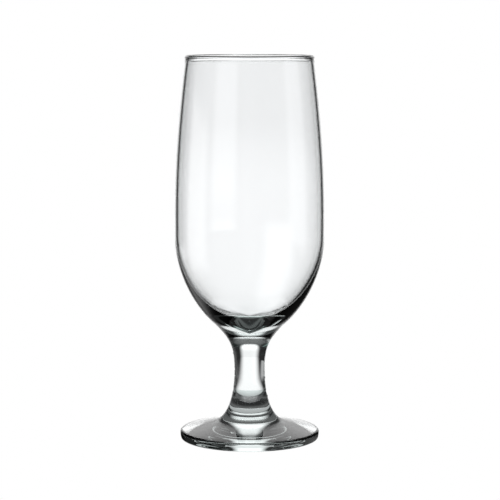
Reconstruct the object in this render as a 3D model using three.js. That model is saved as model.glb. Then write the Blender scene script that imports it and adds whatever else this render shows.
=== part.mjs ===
// A stemmed beer goblet of clear glass, empty: a blown bowl, a pressed stem and a pressed foot, fused
// end to end on one axis. Millimetres, +Z up. The foot stands on z = 0 and the axis is the z axis.

import * as THREE from "three";

// Heights and lengths along the axis.
const HEIGHT = 177;
const FOOT_NECK_HEIGHT = 20.5; // the foot's neck, up to where the stem is fused on
const STEM_LENGTH = 24.6; // from the foot's neck to the bowl's neck
const WAIST_RISE = 10.5; // narrowest place of the stem, above the foot's neck
const TURN_RISE = 9.6; // where the bowl's round turns into the stem's flare, above the stem
const BELLY_RISE = 49.1; // widest place of the bowl, above the stem
const BASE_THICKNESS = 8.5; // solid glass under the drink at the axis, above the stem
const CHEEK_RISE = 16; // where the bowl's inside turns from its bottom into its side, above the stem

// Radii.
const RIM_RADIUS = 29.4; // outside of the wall just under the lip
const BELLY_RADIUS = 34.5;
const TURN_RADIUS = 17.6;
const CHEEK_RADIUS = 18.5;
const WAIST_RADIUS = 7;
const TOE_RADIUS = 14.6; // where the stem's flare becomes the foot's cone
const FOOT_RADIUS = 32.2;

// Wall and lip.
const WALL = 1.4;
const LIP_BULGE = 0.35; // how far the lip's bead stands out from the wall
const LIP_BULGE_INSIDE = 0.1;
const LIP_ROUND = 0.95; // height of the bead's top
const LIP_FLANK = 0.9; // height over which the bead falls back to the wall
const LIP_PEAK = 1.9; // 1 would make the bead's top a half ellipse, and 2 a gable

// Foot.
const TOE_HEIGHT = 8.4;
const EDGE_TOP_HEIGHT = 4;
const EDGE_TOP_INSET = 1.25; // from the foot's widest line in to the top of its rounded edge
const EDGE_HEIGHT = 2.6; // the widest line of the rounded edge
const REST_INSET = 0.55; // from the widest line in to the flat ring that the foot stands on
const REST_WIDTH = 0.8;
const KICK_HEIGHT = 0.4; // the hollow under the foot, at the axis

// Leans are from the vertical and slopes from the horizontal, in degrees.
const TURN_LEAN = 47.4;
const POLE_SLOPE = 11; // the bowl's inside rises from the axis as a shallow cone
const CHEEK_SLOPE = 43.7;
const RING_SLOPE = 11; // the hollow under the foot, at the resting ring
const TOE_SLOPE = 31.4;
const EDGE_SLOPE = 14.8;

// How far a curve runs on in the direction of its end, as a share of its height or its width.
const RIM_SWEEP_DOWN = 0.555;
const RIM_SWEEP_OUT = 1.12; // a share of how far the belly stands out from the rim
const BELLY_SWEEP_UP = 0.17;
const BELLY_SWEEP_DOWN = 0.43;
const TURN_SWEEP_UP = 0.27;
const TURN_SWEEP_DOWN = 0.56;
const WAIST_SWEEP_UP = 0.43;
const WAIST_SWEEP_DOWN = 0.32;
const TOE_SWEEP_UP = 0.32;
const TOE_SWEEP_OUT = 0.18;
const CONE_SWEEP = 0.39;
const EDGE_SWEEP = 0.55;
const HOLLOW_SWEEP_DOWN = 0.38; // the inside of the bowl, at the belly
const CHEEK_SWEEP_OUT = 0.78;
const CHEEK_SWEEP_IN = 0.09;
const POLE_SWEEP = 0.08;
const KICK_SWEEP = 0.6; // the hollow under the foot, at the axis
const RING_SWEEP = 0.42;

const SEGMENTS = 40; // round the axis

// Straight pieces along each stretch of outline.
const WALL_PIECES = 9;
const ROUND_PIECES = 11;
const HOLLOW_PIECES = 10;
const BOTTOM_PIECES = 6;
const UPPER_FLARE_PIECES = 10;
const LOWER_FLARE_PIECES = 9;
const CONE_PIECES = 5;
const EDGE_PIECES = 4;
const KICK_PIECES = 5;
const LIP_CROWN_PIECES = 8;
const LIP_FLANK_PIECES = 3;

const bowlJoint = FOOT_NECK_HEIGHT + STEM_LENGTH;
const waistHeight = FOOT_NECK_HEIGHT + WAIST_RISE;
const turnHeight = bowlJoint + TURN_RISE;
const bellyHeight = bowlJoint + BELLY_RISE;
const hollowBottom = bowlJoint + BASE_THICKNESS;
const cheekHeight = bowlJoint + CHEEK_RISE;
const lipHeight = HEIGHT - LIP_ROUND;
const wallTop = lipHeight - LIP_FLANK;

const wallSpan = wallTop - bellyHeight;
const rimRunDown = RIM_SWEEP_DOWN * wallSpan;
const rimRunOut = RIM_SWEEP_OUT * (BELLY_RADIUS - RIM_RADIUS);
const rimLean = THREE.MathUtils.radToDeg(Math.atan2(rimRunOut, rimRunDown));

// A point of an outline is a radius and a height, and a step is a length in a direction.
const point = (radius, height) => new THREE.Vector2(radius, height);
const radians = THREE.MathUtils.degToRad;
const up = (length, lean = 0) => point(-length * Math.sin(radians(lean)), length * Math.cos(radians(lean)));
const down = (length, lean = 0) => up(-length, lean);
const outward = (length, slope = 0) =>
  point(length * Math.cos(radians(slope)), -length * Math.sin(radians(slope)));
const inward = (length, slope = 0) => outward(-length, slope);

// A smooth stretch of outline, which leaves start along one step and arrives at end against another.
function bend(start, startStep, end, endStep, pieces) {
  const startHandle = start.clone().add(startStep);
  const endHandle = end.clone().add(endStep);
  return new THREE.CubicBezierCurve(start, startHandle, endHandle, end).getPoints(pieces);
}

// Stretches end to end, each without the point that it shares with the one before.
const joined = (...stretches) => stretches.flatMap((points, i) => (i ? points.slice(1) : points));

// The tall wall from under the lip down to the belly. The inside follows the outside, one wall in.
function wallStretch(inset) {
  const top = point(RIM_RADIUS - inset, wallTop);
  const belly = point(BELLY_RADIUS - inset, bellyHeight);
  return bend(top, point(rimRunOut, -rimRunDown), belly, up(BELLY_SWEEP_UP * wallSpan), WALL_PIECES);
}

// The outside from the belly to the foot's resting ring, through the bowl's round, the stem and the foot.
function lowerOutside() {
  const belly = point(BELLY_RADIUS, bellyHeight);
  const turn = point(TURN_RADIUS, turnHeight);
  const waist = point(WAIST_RADIUS, waistHeight);
  const toe = point(TOE_RADIUS, TOE_HEIGHT);
  const edgeTop = point(FOOT_RADIUS - EDGE_TOP_INSET, EDGE_TOP_HEIGHT);
  const edge = point(FOOT_RADIUS, EDGE_HEIGHT);
  const rest = point(FOOT_RADIUS - REST_INSET, 0);
  const round = bellyHeight - turnHeight;
  const upperFlare = turnHeight - waistHeight;
  const lowerFlare = waistHeight - TOE_HEIGHT;
  const cone = edgeTop.x - toe.x;
  return joined(
    bend(
      belly, down(BELLY_SWEEP_DOWN * round),
      turn, up(TURN_SWEEP_UP * round, -TURN_LEAN), ROUND_PIECES,
    ),
    bend(
      turn, down(TURN_SWEEP_DOWN * upperFlare, -TURN_LEAN),
      waist, up(WAIST_SWEEP_UP * upperFlare), UPPER_FLARE_PIECES,
    ),
    bend(
      waist, down(WAIST_SWEEP_DOWN * lowerFlare),
      toe, inward(TOE_SWEEP_UP * lowerFlare, TOE_SLOPE), LOWER_FLARE_PIECES,
    ),
    bend(
      toe, outward(TOE_SWEEP_OUT * cone, TOE_SLOPE),
      edgeTop, inward(CONE_SWEEP * cone, EDGE_SLOPE), CONE_PIECES,
    ),
    bend(
      edgeTop, outward(EDGE_SWEEP * EDGE_TOP_INSET, EDGE_SLOPE),
      edge, up(EDGE_SWEEP * (EDGE_TOP_HEIGHT - EDGE_HEIGHT)), EDGE_PIECES,
    ),
    bend(
      edge, down(EDGE_SWEEP * EDGE_HEIGHT),
      rest, outward(EDGE_SWEEP * REST_INSET), EDGE_PIECES,
    ),
  );
}

// The part of a falling outline between two heights, with a point on each of the two.
function between(points, top, bottom) {
  const cut = [];
  points.forEach((p, i) => {
    const before = points[i - 1];
    for (const level of [top, bottom]) {
      if (before && before.y > level && p.y < level) {
        cut.push(before.clone().lerp(p, (before.y - level) / (before.y - p.y)));
      }
    }
    if (p.y <= top && p.y >= bottom) cut.push(p);
  });
  return cut;
}

// The rounded bead of the lip, over the top from its inside to its outside, with a flank on each side.
function lip() {
  const inside = point(RIM_RADIUS - WALL - LIP_BULGE_INSIDE, lipHeight);
  const outside = point(RIM_RADIUS + LIP_BULGE, lipHeight);
  const middle = (inside.x + outside.x) / 2;
  const ellipse = new THREE.EllipseCurve(0, 0, 1, 1, Math.PI, 0, true).getPoints(LIP_CROWN_PIECES);
  const crown = ellipse.map(({ x, y }) => point(
    middle + (outside.x - middle) * Math.sign(x) * Math.abs(x) ** LIP_PEAK,
    lipHeight + LIP_ROUND * Math.abs(y) ** LIP_PEAK,
  ));
  const step = LIP_FLANK / 2;
  return joined(
    bend(point(RIM_RADIUS - WALL, wallTop), up(step, rimLean), inside, down(step), LIP_FLANK_PIECES),
    crown,
    bend(outside, down(step), point(RIM_RADIUS, wallTop), up(step, rimLean), LIP_FLANK_PIECES),
  );
}

// The inside of the bowl, from the axis over its shallow cone to the cheek, and from there up to the belly.
function hollow() {
  const bottom = point(0, hollowBottom);
  const cheek = point(CHEEK_RADIUS, cheekHeight);
  const belly = point(BELLY_RADIUS - WALL, bellyHeight);
  return joined(
    bend(
      bottom, outward(POLE_SWEEP * cheek.x, -POLE_SLOPE),
      cheek, inward(CHEEK_SWEEP_IN * cheek.x, -CHEEK_SLOPE), BOTTOM_PIECES,
    ),
    bend(
      cheek, outward(CHEEK_SWEEP_OUT * (belly.x - cheek.x), -CHEEK_SLOPE),
      belly, down(HOLLOW_SWEEP_DOWN * (bellyHeight - cheekHeight)), HOLLOW_PIECES,
    ),
  );
}

// The hollow underside of the foot, from the axis out to the resting ring.
function underside() {
  const top = point(0, KICK_HEIGHT);
  const ring = point(FOOT_RADIUS - REST_INSET - REST_WIDTH, 0);
  return bend(top, outward(KICK_SWEEP * ring.x), ring, inward(RING_SWEEP * ring.x, RING_SLOPE), KICK_PIECES);
}

// A solid turned about the z axis from an outline that runs upwards and starts and ends on the axis.
function turned(name, outline, material) {
  const geometry = new THREE.LatheGeometry(outline, SEGMENTS).rotateX(Math.PI / 2);
  const mesh = new THREE.Mesh(geometry, material);
  mesh.name = name;
  return mesh;
}

const clearGlass = () =>
  new THREE.MeshStandardMaterial({
    color: 0xe9eef0, roughness: 0.04, metalness: 0, transparent: true, opacity: 0.35,
  });

const outside = lowerOutside();
const bowlOutside = between(outside, bellyHeight, bowlJoint);
const stemOutside = between(outside, bowlJoint, FOOT_NECK_HEIGHT);
const footOutside = between(outside, FOOT_NECK_HEIGHT, 0);

const bowlSurface = joined(hollow(), wallStretch(WALL).reverse(), lip(), wallStretch(0), bowlOutside);
const bowlOutline = [...bowlSurface, point(0, bowlJoint)];
const stemOutline = [point(0, bowlJoint), ...stemOutside, point(0, FOOT_NECK_HEIGHT)];
const footOutline = [point(0, FOOT_NECK_HEIGHT), ...footOutside, ...underside().reverse()];

const goblet = new THREE.Group();
goblet.add(
  turned("bowl", bowlOutline.reverse(), clearGlass()),
  turned("stem", stemOutline.reverse(), clearGlass()),
  turned("foot", footOutline.reverse(), clearGlass()),
);

export default goblet;
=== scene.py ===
# A stemmed beer goblet of clear glass, empty, standing on a pale studio floor.
# Metres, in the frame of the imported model: the foot stands on z = 0 and the axis is the z axis.
import math

import bpy
import numpy as np
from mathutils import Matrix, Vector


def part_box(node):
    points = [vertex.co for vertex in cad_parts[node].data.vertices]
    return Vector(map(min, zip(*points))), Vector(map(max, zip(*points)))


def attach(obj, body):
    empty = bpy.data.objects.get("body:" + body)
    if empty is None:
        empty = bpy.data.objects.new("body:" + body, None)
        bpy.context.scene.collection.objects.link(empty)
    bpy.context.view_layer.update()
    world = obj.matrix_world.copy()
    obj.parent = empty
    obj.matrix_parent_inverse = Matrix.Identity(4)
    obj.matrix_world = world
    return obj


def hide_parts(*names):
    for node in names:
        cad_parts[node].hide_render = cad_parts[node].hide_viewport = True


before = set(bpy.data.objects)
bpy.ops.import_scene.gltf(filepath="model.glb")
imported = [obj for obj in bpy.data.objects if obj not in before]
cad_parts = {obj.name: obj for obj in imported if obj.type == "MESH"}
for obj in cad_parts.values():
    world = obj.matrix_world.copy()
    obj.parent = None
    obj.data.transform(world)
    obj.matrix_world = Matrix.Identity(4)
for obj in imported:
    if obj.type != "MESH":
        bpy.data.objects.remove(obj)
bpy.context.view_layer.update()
mm = 0.001


# The camera. It stands 0.85 m in front of the axis with a long lens, a little higher than the lip, so it
# looks down on the foot and almost level across the lip.
camera_distance = 853.4 * mm
camera_height = 191.7 * mm
camera_pitch = math.radians(6.952)
camera_data = bpy.data.cameras.new("camera")
camera_data.lens = 134.25
camera_data.sensor_width = 36
camera_data.shift_x = 0.0008
camera = bpy.data.objects.new("camera", camera_data)
camera.location = (0, -camera_distance, camera_height)
camera.rotation_euler = (math.pi / 2 - camera_pitch, 0, 0)
bpy.context.scene.collection.objects.link(camera)
bpy.context.scene.camera = camera
bpy.context.scene.view_settings.view_transform = "Standard"

# Light that is caught in thick glass turns back many times before it leaves.
glass_turns = 24
bpy.context.scene.cycles.max_bounces = glass_turns
bpy.context.scene.cycles.transmission_bounces = glass_turns


# The studio. Clear glass shows only what is lit behind it, so the light comes as soft white fans on the
# wall behind it, and the same fans painted on the floor's glow, with dim room between them that draws the
# glass's outlines. The camera's own rays see a plain white floor and wall.

# Azimuth, half angle and fade are in degrees, from +Y towards +X. A fan with a height lights the wall up
# to there, and "from" and "to" are the distances between which a fan's light is painted on the floor.
fans = (
    {"azimuth": 0, "half_angle": 12, "fade": 17, "width": 0.02, "strength": 1.15, "height": 0.9},
    {"azimuth": -54, "half_angle": 8, "fade": 10, "strength": 0.5, "from": 0.12, "to": 0.4},
    {"azimuth": -90, "half_angle": 12, "fade": 12, "strength": 0.8, "from": 0.2, "height": 0.12},
    {"azimuth": 135, "half_angle": 14, "fade": 12, "strength": 0.9, "to": 0.8},
)
fan_blur = 22 * mm
width_blur = 1.3
height_blur = 0.5
room_dimness = 0.025
far_wall = 10.0

# Places on the wall are heights on a sphere of radius 1: 0 is level with the eye and 1 is overhead.
ceiling_light = 0.13
ceiling_start, ceiling_end = 0.45, 0.8
high_gain = 0.35
high_start, high_end = 0.2, 0.4
horizon_dimness = 0.09
horizon_start, horizon_end = 0.25, 0.1


def worked_out(tree, operation, *values):
    """One step of arithmetic on sockets and numbers."""
    node = tree.nodes.new("ShaderNodeMath")
    node.operation = operation
    for socket, value in zip(node.inputs, values):
        if isinstance(value, bpy.types.NodeSocket):
            tree.links.new(value, socket)
        else:
            socket.default_value = value
    return node.outputs["Value"]


def eased(tree, value, start, end):
    """0 where the value is at start, 1 where it is at end, with a soft rise between the two."""
    node = tree.nodes.new("ShaderNodeMapRange")
    node.interpolation_type = "SMOOTHSTEP"
    for name, number in (("Value", value), ("From Min", start), ("From Max", end)):
        if isinstance(number, bpy.types.NodeSocket):
            tree.links.new(number, node.inputs[name])
        else:
            node.inputs[name].default_value = number
    return node.outputs["Result"]


def fan_light(tree, x, y, fan):
    """A fan's light at a place. Along is x sin a + y cos a and across is |x cos a - y sin a|. The light is
    full where across is under along times tan of the half angle, or under the fan's width, and 0 where it
    is past along times tan of half angle and fade, and a blur."""
    angle = math.radians(fan["azimuth"])
    along = worked_out(tree, "ADD", worked_out(tree, "MULTIPLY", x, math.sin(angle)),
                       worked_out(tree, "MULTIPLY", y, math.cos(angle)))
    across = worked_out(tree, "ABSOLUTE", worked_out(
        tree, "SUBTRACT", worked_out(tree, "MULTIPLY", x, math.cos(angle)),
        worked_out(tree, "MULTIPLY", y, math.sin(angle))))
    reach = worked_out(tree, "MAXIMUM", along, 0.0)
    inner = math.tan(math.radians(fan["half_angle"]))
    outer = math.tan(math.radians(fan["half_angle"] + fan["fade"]))
    width = fan.get("width", 0.0)
    dark_edge = worked_out(tree, "MAXIMUM", worked_out(tree, "MULTIPLY_ADD", reach, outer, fan_blur),
                           width * width_blur)
    lit_edge = worked_out(tree, "MAXIMUM", worked_out(tree, "MULTIPLY", reach, inner), width)
    in_front = eased(tree, along, -fan_blur, fan_blur)
    wedge = worked_out(tree, "MULTIPLY", eased(tree, across, dark_edge, lit_edge), in_front)
    return worked_out(tree, "MULTIPLY", wedge, fan["strength"])


def brightest(tree, lights):
    """The largest of several lights."""
    total = lights[0]
    for light in lights[1:]:
        total = worked_out(tree, "MAXIMUM", total, light)
    return total


def white_to_camera(tree, strength):
    """Plain white for the camera's own rays, and the given strength of white light for all the others."""
    path = tree.nodes.new("ShaderNodeLightPath")
    seen = path.outputs["Is Camera Ray"]
    unseen = worked_out(tree, "SUBTRACT", 1.0, seen)
    return worked_out(tree, "ADD", seen, worked_out(tree, "MULTIPLY", strength, unseen))


studio = bpy.data.worlds.new("studio")
studio.use_nodes = True
tree = studio.node_tree
direction = tree.nodes.new("ShaderNodeTexCoord")
split = tree.nodes.new("ShaderNodeSeparateXYZ")
tree.links.new(direction.outputs["Generated"], split.inputs["Vector"])
wall_x = worked_out(tree, "MULTIPLY", split.outputs["X"], far_wall)
wall_y = worked_out(tree, "MULTIPLY", split.outputs["Y"], far_wall)
wall_z = split.outputs["Z"]
wall_lights = []
for fan in fans:
    if "height" in fan:
        low = eased(tree, wall_z, fan["height"], fan["height"] * height_blur)
        wall_lights.append(worked_out(tree, "MULTIPLY", fan_light(tree, wall_x, wall_y, fan), low))
profile = worked_out(tree, "MULTIPLY_ADD", eased(tree, wall_z, high_start, high_end), high_gain, 1.0)
profile = worked_out(tree, "MULTIPLY_ADD", eased(tree, wall_z, horizon_start, horizon_end),
                     -horizon_dimness, profile)
overhead = worked_out(tree, "MULTIPLY", eased(tree, wall_z, ceiling_start, ceiling_end), ceiling_light)
room = worked_out(tree, "ADD", overhead, room_dimness)
wall_light = worked_out(tree, "MULTIPLY_ADD", brightest(tree, wall_lights), profile, room)
tree.links.new(white_to_camera(tree, wall_light), tree.nodes["Background"].inputs["Strength"])
tree.nodes["Background"].inputs["Color"].default_value = (1, 1, 1, 1)
bpy.context.scene.world = studio


# The floor. It glows with painted light. To the camera's own rays it is a plain white surface; to all other
# rays it shows the fans' light painted on it, dimmed by painted shade close round the foot, where less
# light reaches it, and far off, where it meets the wall. Under the foot it is painted shade, grey,
# darkest at the middle, with a painted patch of light in front.
floor_size = 3.0
floor_drop = 0.2 * mm
far_start = 1.2
fan_start_blur, fan_end_blur = 0.5, 1.5
foot_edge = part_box("foot")[1][0]
edge_light = 0.45
shade_reach = 0.06
middle_light = 0.03
middle_start, middle_end = 9 * mm, 16 * mm
under_light = 0.11
front_light = 0.17
front_start, front_end = 20 * mm, 26 * mm
front_side, front_full = -12 * mm, -22 * mm

floor_mesh = bpy.data.meshes.new("studio_floor")
corners = floor_size * np.array([[-1, -1, 0], [1, -1, 0], [1, 1, 0], [-1, 1, 0]], float)
corners[:, 2] = -floor_drop
floor_mesh.from_pydata(corners.tolist(), [], [(0, 1, 2, 3)])
floor = bpy.data.objects.new("studio_floor", floor_mesh)
bpy.context.scene.collection.objects.link(floor)
# The floor's glow is painted light and painted shade; the camera's own rays see it plain white.
painted_light_floor = bpy.data.materials.new("painted_light_floor")
painted_light_floor.use_nodes = True
tree = painted_light_floor.node_tree
tree.nodes.clear()
place = tree.nodes.new("ShaderNodeTexCoord")
split = tree.nodes.new("ShaderNodeSeparateXYZ")
tree.links.new(place.outputs["Object"], split.inputs["Vector"])
floor_x, floor_y = split.outputs["X"], split.outputs["Y"]
distance = worked_out(tree, "SQRT", worked_out(tree, "ADD", worked_out(tree, "POWER", floor_x, 2.0),
                                               worked_out(tree, "POWER", floor_y, 2.0)))
# Each fan's light is painted on the floor's glow, faded in before "from" and out past "to".
floor_lights = []
for fan in fans:
    light = fan_light(tree, floor_x, floor_y, fan)
    if "to" in fan:
        before_end = eased(tree, distance, fan["to"] * fan_end_blur, fan["to"])
        light = worked_out(tree, "MULTIPLY", light, before_end)
    if "from" in fan:
        past_start = eased(tree, distance, fan["from"] * fan_start_blur, fan["from"])
        light = worked_out(tree, "MULTIPLY", light, past_start)
    floor_lights.append(light)
# Painted shade: the floor's glow dims far off, where it meets the wall.
far_off = eased(tree, distance, far_start, floor_size)
far_dimness = worked_out(tree, "MULTIPLY_ADD", far_off, -horizon_dimness, 1.0)
open_light = worked_out(tree, "MULTIPLY_ADD", brightest(tree, floor_lights), far_dimness, room_dimness)
# Painted shade: the glow is edge_light times as bright at the foot's edge and full again by shade_reach.
log_distance = worked_out(tree, "LOGARITHM", distance, math.e)
away = eased(tree, log_distance, math.log(foot_edge), math.log(shade_reach))
near_foot = worked_out(tree, "MULTIPLY_ADD", away, 1 - edge_light, edge_light)
shaded = worked_out(tree, "MULTIPLY", open_light, near_foot)
# Painted shade under the foot, from middle_light at the middle to middle_light plus under_light further out,
# and a painted patch of front_light in front.
under = worked_out(tree, "MULTIPLY_ADD", eased(tree, distance, middle_start, middle_end), under_light,
                   middle_light)
before = worked_out(tree, "MULTIPLY", eased(tree, distance, front_start, front_end),
                    eased(tree, floor_y, front_side, front_full))
under = worked_out(tree, "MULTIPLY_ADD", before, front_light, under)
beyond_foot = worked_out(tree, "GREATER_THAN", distance, foot_edge)
within_foot = worked_out(tree, "SUBTRACT", 1.0, beyond_foot)
floor_light = worked_out(tree, "MULTIPLY_ADD", shaded, beyond_foot,
                         worked_out(tree, "MULTIPLY", under, within_foot))
glow = tree.nodes.new("ShaderNodeEmission")
tree.links.new(white_to_camera(tree, floor_light), glow.inputs["Strength"])
floor_output = tree.nodes.new("ShaderNodeOutputMaterial")
tree.links.new(glow.outputs["Emission"], floor_output.inputs["Surface"])
floor_mesh.materials.append(painted_light_floor)


# The bowl. The real one is blown: a thin wall with a fire-polished bead for a lip, and a thick round
# base that runs down into a short solid neck, where the stem is fused on. Its inside ends in a shallow
# cone, which keeps the light behind it out of the base, so the base looks dark.
bowl_low, bowl_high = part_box("bowl")
bowl_joint = bowl_low[2]
foot_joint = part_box("foot")[1][2]
segments = 224
wall = 1.4 * mm
rim_radius = 29.4 * mm
lip_height = bowl_high[2] - 0.95 * mm
wall_top = lip_height - 0.9 * mm
lip_bulge = 0.35 * mm
lip_bulge_inside = 0.1 * mm
lip_peak = 1.9
belly = np.array([34.5 * mm, bowl_joint + 49.1 * mm])
turn = np.array([17.6 * mm, bowl_joint + 9.6 * mm])
turn_lean = 47.4
waist = np.array([7.0 * mm, foot_joint + 10.5 * mm])
pole = np.array([0.0, bowl_joint + 8.5 * mm])
pole_slope = 11
cheek = np.array([18.5 * mm, bowl_joint + 16 * mm])
cheek_slope = 43.7

# How far each bend of the outline keeps to its end's direction, as a share of the bend's own height or
# breadth.
rim_sweep_down, rim_sweep_out = 0.555, 1.12
belly_sweep_up, belly_sweep_down = 0.17, 0.43
turn_sweep_up, turn_sweep_down = 0.27, 0.56
waist_sweep_up = 0.43
pole_sweep = 0.08
cheek_sweep_in, cheek_sweep_out = 0.09, 0.78
hollow_sweep_down = 0.38


def lean(length, degrees=0.0):
    """A step of that length upwards, leaning in towards the axis by so many degrees from the vertical."""
    angle = math.radians(degrees)
    return length * np.array([-math.sin(angle), math.cos(angle)])


def slope(length, degrees=0.0):
    """A step of that length outwards, falling by so many degrees from the horizontal."""
    angle = math.radians(degrees)
    return length * np.array([math.cos(angle), -math.sin(angle)])


def bend(start, start_step, end, end_step, count):
    """A cubic Bezier curve of so many pieces, with t from 0 to 1:
    (1-t)^3 start + 3(1-t)^2 t (start + step) + 3(1-t) t^2 (end + step) + t^3 end."""
    t = np.linspace(0, 1, count + 1)[:, None]
    first, second = start + start_step, end + end_step
    return (1 - t) ** 3 * start + 3 * (1 - t) ** 2 * t * first + 3 * (1 - t) * t**2 * second + t**3 * end


def joined(*stretches):
    """Stretches of outline end to end, each without the point that it shares with the one before."""
    return np.vstack([stretches[0]] + [points[1:] for points in stretches[1:]])


wall_span = wall_top - belly[1]
rim_run = np.array([rim_sweep_out * (belly[0] - rim_radius), -rim_sweep_down * wall_span])
rim_lean = math.degrees(math.atan2(rim_run[0], -rim_run[1]))


def wall_stretch(inset):
    """The tall wall from under the lip down to the belly, one bend, drawn in by the inset."""
    top = np.array([rim_radius - inset, wall_top])
    widest = np.array([belly[0] - inset, belly[1]])
    return bend(top, rim_run, widest, lean(belly_sweep_up * wall_span), count=60)


def lip():
    """The bead: over the top, half its width times cos^1.9 across and its height times sin^1.9 up, which
    is a gable with rounded corners, and a bend on each side that falls back to the wall."""
    inside = np.array([rim_radius - wall - lip_bulge_inside, lip_height])
    outside = np.array([rim_radius + lip_bulge, lip_height])
    angle = np.linspace(math.pi, 0, 33)
    middle, half = (inside[0] + outside[0]) / 2, (outside[0] - inside[0]) / 2
    across, over = np.cos(angle), np.sin(angle)
    crown = np.stack([middle + half * np.sign(across) * np.abs(across) ** lip_peak,
                      lip_height + (bowl_high[2] - lip_height) * over**lip_peak], axis=1)
    step = (lip_height - wall_top) / 2
    return joined(
        bend(np.array([rim_radius - wall, wall_top]), lean(step, rim_lean), inside, lean(-step), count=10),
        crown,
        bend(outside, lean(-step), np.array([rim_radius, wall_top]), lean(step, rim_lean), count=10),
    )


def hollow():
    """The inside: a bend from the cone's tip out to the cheek, and one from the cheek up to the belly."""
    widest = np.array([belly[0] - wall, belly[1]])
    cheek_run = slope(cheek_sweep_out * (widest[0] - cheek[0]), -cheek_slope)
    return joined(
        bend(pole, slope(pole_sweep * cheek[0], -pole_slope),
             cheek, slope(-cheek_sweep_in * cheek[0], -cheek_slope), count=50),
        bend(cheek, cheek_run, widest, lean(-hollow_sweep_down * (widest[1] - cheek[1])), count=60),
    )


def lower_bowl():
    """The outside from the belly to the turn, and from the turn through the stem's top to its waist."""
    round_height = belly[1] - turn[1]
    flare = turn[1] - waist[1]
    return joined(
        bend(belly, lean(-belly_sweep_down * round_height),
             turn, lean(turn_sweep_up * round_height, -turn_lean), count=80),
        bend(turn, lean(-turn_sweep_down * flare, -turn_lean),
             waist, lean(waist_sweep_up * flare), count=90),
    )


def parted(outline, level):
    """A falling outline with a point put in at a level, and that point's place in the row of points."""
    place = int(np.searchsorted(-outline[:, 1], -level))
    radius = np.interp(-level, -outline[:, 1], outline[:, 0])
    return np.insert(outline, place, [radius, level], axis=0), place


def turned(name, outline, first, last, marks=None):
    """A surface turned about the z axis from rows first to last of an outline of radius and height.

    Each point stands at radius times cos and sin of its angle. marks gives an extra radius from the radius,
    height and angle. An end that isn't on the axis is closed by a flat disc, the fused joint. The normals
    are the cross product of the steps along and round the surface, taken over the whole outline, so they
    run on across the joints."""
    angle = np.linspace(0, 2 * math.pi, segments, endpoint=False)
    radius, height = outline[:, :1] + 0 * angle, outline[:, 1:] + 0 * angle
    if marks:
        radius = radius + marks(radius, height, angle)
    points = np.stack([radius * np.cos(angle), radius * np.sin(angle), height], axis=-1)
    length = np.concatenate([[0], np.cumsum(np.hypot(*np.diff(outline, axis=0).T))])
    along = np.gradient(points, length, axis=0)
    round_axis = np.roll(points, -1, axis=1) - np.roll(points, 1, axis=1)
    normals = np.cross(along, round_axis)
    normals /= np.maximum(np.linalg.norm(normals, axis=-1, keepdims=True), 1e-12)
    on_axis = [outline[first, 0] < 1e-9, outline[last, 0] < 1e-9]
    rows = slice(first + on_axis[0], last + 1 - on_axis[1])
    grid, grid_normals = points[rows], normals[rows]
    rings = len(grid)
    poles = [[0, 0, outline[first, 1]], [0, 0, outline[last, 1]]]
    vertices = np.vstack([grid.reshape(-1, 3), poles])
    vertex_normals = np.vstack([grid_normals.reshape(-1, 3), [[0, 0, 1], [0, 0, -1]]])
    row, column = np.meshgrid(np.arange(rings - 1), np.arange(segments), indexing="ij")
    beside = (column + 1) % segments
    quads = np.stack([row * segments + column, (row + 1) * segments + column,
                      (row + 1) * segments + beside, row * segments + beside], axis=-1).reshape(-1, 4)
    around = np.arange(segments)
    next_one = (around + 1) % segments
    last_ring = (rings - 1) * segments
    top_pole, bottom_pole = rings * segments, rings * segments + 1
    top = np.stack([np.full(segments, top_pole), around, next_one], axis=-1)
    bottom = np.stack([np.full(segments, bottom_pole), last_ring + next_one, last_ring + around], axis=-1)
    mesh = bpy.data.meshes.new(name)
    mesh.from_pydata(vertices.tolist(), [], quads.tolist() + top.tolist() + bottom.tolist())
    fused = np.zeros(len(mesh.polygons), int)
    fused[len(quads):len(quads) + segments] = not on_axis[0]
    fused[len(quads) + segments:] = not on_axis[1]
    mesh.polygons.foreach_set("use_smooth", np.ones(len(mesh.polygons), bool))
    mesh.polygons.foreach_set("material_index", fused)
    mesh.update()
    mesh.normals_split_custom_set_from_vertices(vertex_normals.tolist())
    piece = bpy.data.objects.new(name, mesh)
    bpy.context.scene.collection.objects.link(piece)
    return piece


def clear_glass(name, wave_size, wave_height):
    """Clear glass, faintly grey-green in its depth, whose surface keeps faint waves of the given size and
    height from its making."""
    material = bpy.data.materials.new(name)
    material.use_nodes = True
    nodes, links = material.node_tree.nodes, material.node_tree.links
    shader = nodes["Principled BSDF"]
    shader.inputs["Base Color"].default_value = (0.985, 0.99, 0.995, 1)
    shader.inputs["Roughness"].default_value = 0.0
    shader.inputs["IOR"].default_value = 1.548
    shader.inputs["Transmission Weight"].default_value = 1.0
    depth = nodes.new("ShaderNodeVolumeAbsorption")
    depth.inputs["Color"].default_value = (0.8, 0.85, 0.84, 1)
    depth.inputs["Density"].default_value = 30.0
    links.new(depth.outputs["Volume"], nodes["Material Output"].inputs["Volume"])
    coordinates = nodes.new("ShaderNodeTexCoord")
    waves = nodes.new("ShaderNodeTexNoise")
    waves.inputs["Scale"].default_value = 1 / wave_size
    waves.inputs["Detail"].default_value = 0.0
    bump = nodes.new("ShaderNodeBump")
    bump.inputs["Strength"].default_value = 1.0
    bump.inputs["Distance"].default_value = wave_height
    links.new(coordinates.outputs["Object"], waves.inputs["Vector"])
    links.new(waves.outputs["Fac"], bump.inputs["Height"])
    links.new(bump.outputs["Normal"], shader.inputs["Normal"])
    return material


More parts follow.
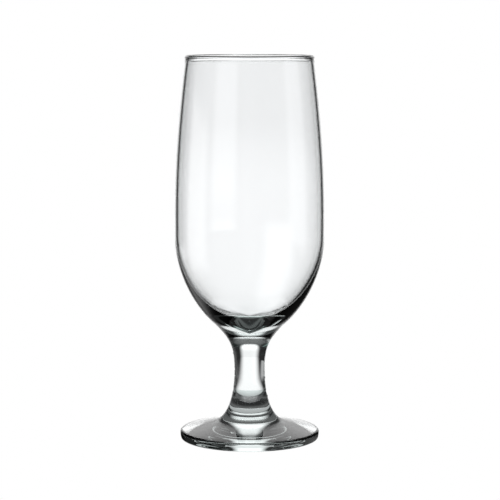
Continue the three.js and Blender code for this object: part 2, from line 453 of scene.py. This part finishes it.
def fused_joint():
    """The face where two gathers of glass were fused hot: light goes straight through it."""
    material = bpy.data.materials.new("fused_joint")
    material.use_nodes = True
    nodes, links = material.node_tree.nodes, material.node_tree.links
    clear = nodes.new("ShaderNodeBsdfTransparent")
    links.new(clear.outputs["BSDF"], nodes["Material Output"].inputs["Surface"])
    return material


joint_glass = fused_joint()
below_belly, bowl_cut = parted(lower_bowl(), bowl_joint)
bowl_outline = joined(hollow(), wall_stretch(wall)[::-1], lip(), wall_stretch(0), below_belly)
bowl_end = len(bowl_outline) - len(below_belly) + bowl_cut
bowl = turned("blown_bowl", bowl_outline, 0, bowl_end)
bowl.data.materials.append(clear_glass("blown_glass", 22 * mm, 0.012 * mm))
bowl.data.materials.append(joint_glass)
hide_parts("bowl")
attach(bowl, "root")


# The stem. A short waisted leg of solid glass, pressed in a mould of two halves. A fine seam runs down
# each side where the halves met, with small nicks where they were prised apart.
toe = np.array([14.6 * mm, 8.4 * mm])
toe_slope = 31.4
waist_sweep_down = 0.32
toe_sweep_up = 0.32
seam_sides = (0.0, math.pi)
seam_height = 0.07 * mm
seam_width = 0.35 * mm
seam_top = 47 * mm
seam_foot_radius = 15 * mm
seam_fade = 1 * mm

# Each nick has its side, its height above the table, and how far it stands out from the glass.
nicks = ((math.pi, 39.5 * mm, 0.16 * mm), (math.pi, 32.0 * mm, -0.12 * mm), (math.pi, 22.4 * mm, -0.25 * mm),
         (0.0, 28.0 * mm, 0.14 * mm), (0.0, 21.4 * mm, -0.16 * mm), (0.0, 19.4 * mm, 0.15 * mm))
nick_breadth, nick_length = 0.9 * mm, 0.45 * mm


def from_side(radius, angle, side):
    """The distance round the glass from the line of a side: radius times the angle between them."""
    return radius * (np.mod(angle - side + math.pi, 2 * math.pi) - math.pi)


def mould_marks(radius, height, angle):
    """Two ridges, one a side: seam height times exp(-(distance / width)^2). Each nick is the same bell in
    both directions. Both fade out above the stem and on the foot's cone."""
    extra = np.zeros_like(radius)
    under_top = 1 + np.exp((height - seam_top) / seam_fade)
    inside_foot = 1 + np.exp((radius - seam_foot_radius) / seam_fade)
    fade = 1 / under_top / inside_foot
    for side in seam_sides:
        across = from_side(radius, angle, side)
        extra += seam_height * np.exp(-((across / seam_width) ** 2)) * fade
    for side, nick_height, depth in nicks:
        across = from_side(radius, angle, side)
        up = height - nick_height
        extra += depth * np.exp(-((across / nick_breadth) ** 2) - (up / nick_length) ** 2) * fade
    return extra


def lower_stem():
    """The outside from the waist down to the toe, where the flare becomes the foot's cone."""
    flare = waist[1] - toe[1]
    toe_run = slope(-toe_sweep_up * flare, toe_slope)
    return bend(waist, lean(-waist_sweep_down * flare), toe, toe_run, count=90)


outline, stem_cut = parted(joined(below_belly, lower_stem()), foot_joint)
stem = turned("pressed_stem", outline, bowl_cut, stem_cut, mould_marks)
stem.data.materials.append(clear_glass("pressed_glass", 9 * mm, 0.008 * mm))
stem.data.materials.append(joint_glass)
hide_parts("stem")
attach(stem, "root")


# The foot. It is pressed too: a raised neck that carries on the stem's flare, a gentle cone, and a thick
# rounded edge that stands on a narrow flat ring. Inside the ring the underside is slightly hollow.
edge_top = np.array([foot_edge - 1.25 * mm, 4.0 * mm])
edge_slope = 14.8
edge = np.array([foot_edge, 2.6 * mm])
rest = np.array([foot_edge - 0.55 * mm, 0.0])
ring = np.array([rest[0] - 0.8 * mm, 0.0])
ring_slope = 11
kick = np.array([0.0, 0.4 * mm])
toe_sweep_out = 0.18
cone_sweep = 0.39
edge_sweep = 0.55
ring_sweep = 0.42
kick_sweep = 0.6


def foot_face():
    """The foot's cone, its rounded edge, the flat resting ring and the hollow underside, to the axis."""
    cone = edge_top[0] - toe[0]
    shoulder = edge_sweep * (edge - edge_top)
    return joined(
        bend(toe, slope(toe_sweep_out * cone, toe_slope),
             edge_top, slope(-cone_sweep * cone, edge_slope), count=50),
        bend(edge_top, slope(shoulder[0], edge_slope), edge, lean(-shoulder[1]), count=16),
        bend(edge, lean(-edge_sweep * edge[1]), rest, slope(edge_sweep * (edge[0] - rest[0])), count=16),
        np.array([rest, ring]),
        bend(ring, slope(-ring_sweep * ring[0], ring_slope), kick, slope(kick_sweep * ring[0]), count=70),
    )


outline, foot_cut = parted(joined(lower_stem(), foot_face()), foot_joint)
foot = turned("pressed_foot", outline, foot_cut, len(outline) - 1, mould_marks)
foot.data.materials.append(clear_glass("foot_glass", 12 * mm, 0.01 * mm))
foot.data.materials.append(joint_glass)
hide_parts("foot")
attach(foot, "root")
